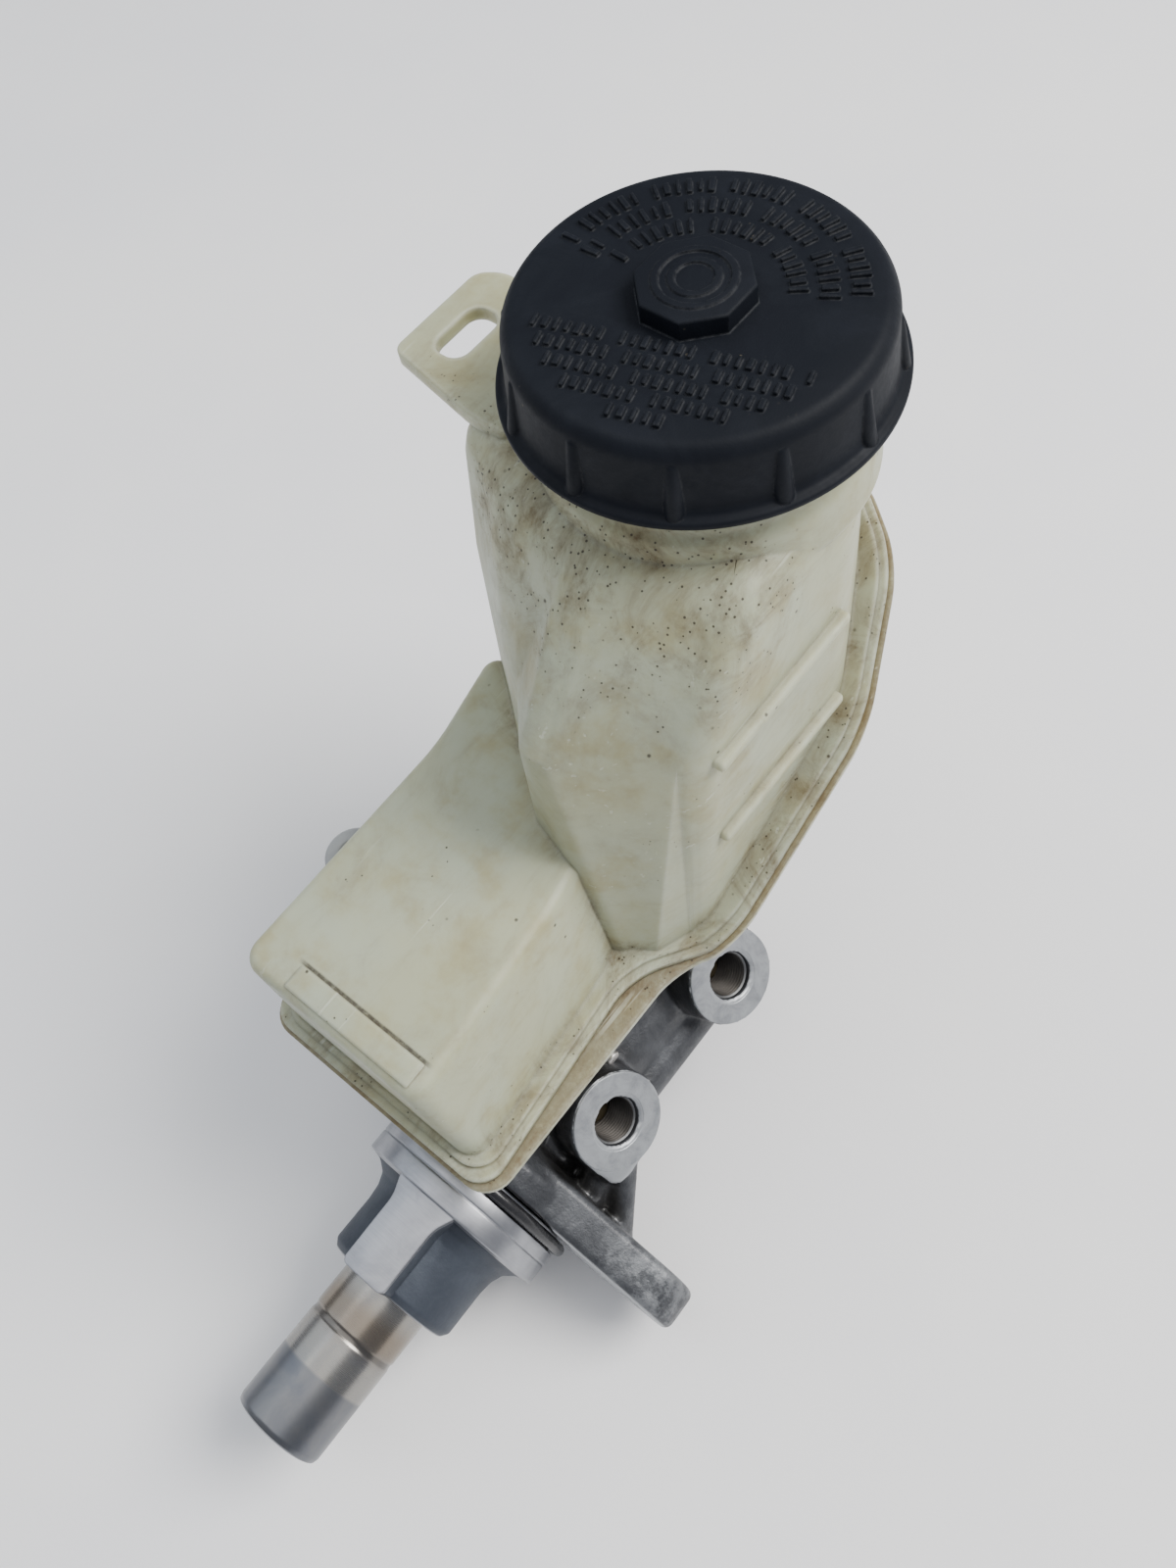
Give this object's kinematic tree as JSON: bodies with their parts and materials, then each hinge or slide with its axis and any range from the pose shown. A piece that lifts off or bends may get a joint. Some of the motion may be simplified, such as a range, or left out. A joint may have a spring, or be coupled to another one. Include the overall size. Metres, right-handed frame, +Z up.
{
  "type": "tandem brake master cylinder",
  "caption": "Tandem hydraulic brake master cylinder: flanged cast body, exposed push-rod piston, side outlet ports and a stepped translucent fluid reservoir with a screw cap",
  "frame": {"origin": "centre of the flange's mounting face, on the cylinder bore's axis", "axes": "+Z up, the way the filler cap faces; the bore runs along Y with the push-rod end at -Y and the closed end at +Y; the outlet ports lean towards +X"},
  "size_m": [0.1333, 0.2388, 0.2121],
  "materials": {
    "cast_metal": "rough cast, oily",
    "turned_metal": "turned, satin",
    "ground_steel": "ground, bright",
    "spring_steel": "drawn wire",
    "seat_brass": "satin",
    "seal_rubber": "moulded",
    "tank_plastic": "translucent, semi-gloss",
    "cap_plastic": "moulded, worn",
    "grey_plastic": "moulded",
    "white_plastic": "moulded"
  },
  "bodies": {
    "housing": {"body_casting": "cast_metal", "outlet_seat_rear": "seat_brass", "outlet_seat_front": "seat_brass", "piston_guide": "turned_metal", "guide_bush": "grey_plastic", "snap_ring": "spring_steel", "flange_o_ring": "seal_rubber", "guide_o_ring": "seal_rubber", "guide_cup": "seal_rubber", "primary_cup": "seal_rubber", "divider_cup": "seal_rubber", "secondary_cup": "seal_rubber", "secondary_spring": "spring_steel", "secondary_spring_retainer": "ground_steel", "grommet_rear": "seal_rubber", "grommet_front": "seal_rubber", "reservoir_lower_shell": "tank_plastic", "reservoir_upper_shell": "tank_plastic", "reservoir_pin": "ground_steel", "filler_strainer": "white_plastic", "level_switch": "grey_plastic", "switch_terminal_a": "seat_brass", "switch_terminal_b": "seat_brass"},
    "primary": {"primary_piston": "ground_steel", "primary_stem": "spring_steel", "primary_spring": "spring_steel"},
    "secondary": {"secondary_piston": "turned_metal", "secondary_stem": "spring_steel", "primary_spring_retainer": "ground_steel"},
    "seal": {"cap_seal": "seal_rubber"},
    "cap": {"reservoir_cap": "cap_plastic"},
    "float": {"level_float": "cap_plastic", "float_magnet": "spring_steel"}
  },
  "joints": [
    {"name": "primary_stroke", "type": "slide", "parent": "housing", "child": "primary", "axis": [0, 1, 0], "range_m": [0, 0.022], "stiffness_N_per_m": 1800, "springref_m": -0.01, "deforming": ["primary_spring"]},
    {"name": "secondary_stroke", "type": "slide", "parent": "housing", "child": "secondary", "axis": [0, 1, 0], "range_m": [0, 0.0126], "deforming": ["secondary_spring"]},
    {"name": "cap_rise", "type": "slide", "parent": "housing", "child": "seal", "axis": [0, 0, 1], "range_m": [0, 0.00301]},
    {"name": "cap_turn", "type": "hinge", "parent": "seal", "child": "cap", "pos_m": [-0.0124, 0.122, 0.164], "axis": [0, 0, 1], "range_deg": [0, 270]},
    {"name": "float_travel", "type": "slide", "parent": "housing", "child": "float", "axis": [0, 0, 1], "range_m": [0, 0.017]}
  ],
  "couplings": [
    {"joint": "secondary_stroke", "follows": "primary_stroke", "ratio": 0.57},
    {"joint": "cap_rise", "follows": "cap_turn", "m_per_rad": 0.000637}
  ]
}
